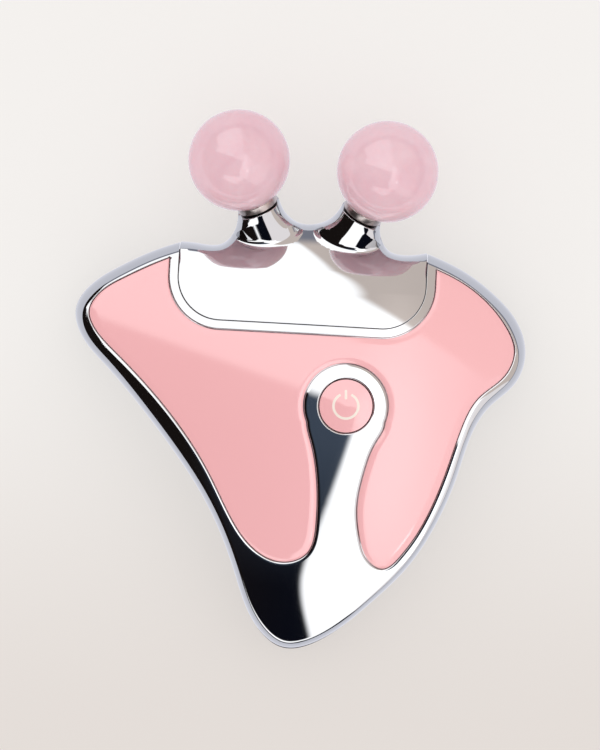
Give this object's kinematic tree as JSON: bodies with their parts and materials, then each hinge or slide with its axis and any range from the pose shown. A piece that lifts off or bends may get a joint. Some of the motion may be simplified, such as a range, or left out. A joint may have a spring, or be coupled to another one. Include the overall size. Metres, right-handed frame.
{
  "type": "facial toning device",
  "caption": "Palm-sized facial toner: curved chrome-plated body with a glossy pink panel, round power button and rose quartz massage balls that spin on tilted, forked necks.",
  "frame": {"origin": "bottom centre of the bounding box: on the surface that the flat back rests on, under the middle of the whole device", "axes": "+X to the device's right seen from its front face, +Y from the body's tip towards the roller balls, +Z out of the front face that carries the button"},
  "size_m": [0.0894, 0.1052, 0.0275],
  "materials": {
    "chrome": "bright chromium plating",
    "pink_gloss": "high-gloss pink lacquer",
    "button_pink": "glossy pink",
    "symbol_cream": "translucent cream light guide",
    "rose_quartz": "polished cloudy rose quartz",
    "satin_steel": "satin",
    "shaft_steel": "ground",
    "screw_steel": "zinc plated",
    "acetal": "smooth white acetal",
    "dark_plastic": "black",
    "silicone": "matt silicone",
    "foam": "black foam pad",
    "circuit_board": "green solder mask",
    "chip_black": "moulded epoxy",
    "led_lens": "clear diffused",
    "battery_foil": "laminated pouch",
    "motor_can": "nickel plated",
    "weight_brass": "sintered",
    "tag_brass": "tinned",
    "lead_red": "insulated wire",
    "port_steel": "nickel plated"
  },
  "bodies": {
    "body": {"rear_shell": "chrome", "front_bezel": "chrome", "head_shell": "chrome", "front_panel": "pink_gloss", "rear_panel": "pink_gloss", "case_gasket": "silicone", "head_screws": "screw_steel", "shaft_clips": "shaft_steel", "contact_tags": "tag_brass", "shaft_nuts": "screw_steel", "tact_switch": "dark_plastic", "main_board": "circuit_board", "board_screws": "screw_steel", "board_chips": "chip_black", "power_led": "led_lens", "battery": "battery_foil", "battery_pad": "foam", "battery_leads": "lead_red", "vibration_motor": "motor_can", "motor_boot": "silicone", "motor_leads": "lead_red", "charge_port": "port_steel", "port_board": "circuit_board", "port_leads": "lead_red", "head_leads": "lead_red", "case_screws": "screw_steel", "left_roller_shaft": "shaft_steel", "right_roller_shaft": "shaft_steel"},
    "left_roller": {"left_roller_ball": "rose_quartz", "left_roller_bush": "acetal", "left_roller_collar": "satin_steel"},
    "right_roller": {"right_roller_ball": "rose_quartz", "right_roller_bush": "acetal", "right_roller_collar": "satin_steel"},
    "button": {"button_cap": "button_pink", "button_symbol": "symbol_cream", "switch_plunger": "acetal"},
    "motor_rotor": {"motor_shaft": "shaft_steel", "motor_weight": "weight_brass"}
  },
  "joints": [
    {"name": "left_roller_spin", "type": "hinge", "parent": "body", "child": "left_roller", "pos_m": [-0.01465, 0.04265, 0.0175], "axis": [-0.4108, 0.7994, 0.4384], "continuous": true},
    {"name": "right_roller_spin", "type": "hinge", "parent": "body", "child": "right_roller", "pos_m": [0.01465, 0.04265, 0.0175], "axis": [0.4108, 0.7994, 0.4384], "continuous": true},
    {"name": "button_press", "type": "slide", "parent": "body", "child": "button", "axis": [0, 0, -1], "range_m": [0, 0.0004], "stiffness_N_per_m": 3000, "springref_m": -0.0001},
    {"name": "motor_spin", "type": "hinge", "parent": "body", "child": "motor_rotor", "pos_m": [0.01, -0.021, 0.007], "axis": [0, -1, 0], "continuous": true}
  ]
}
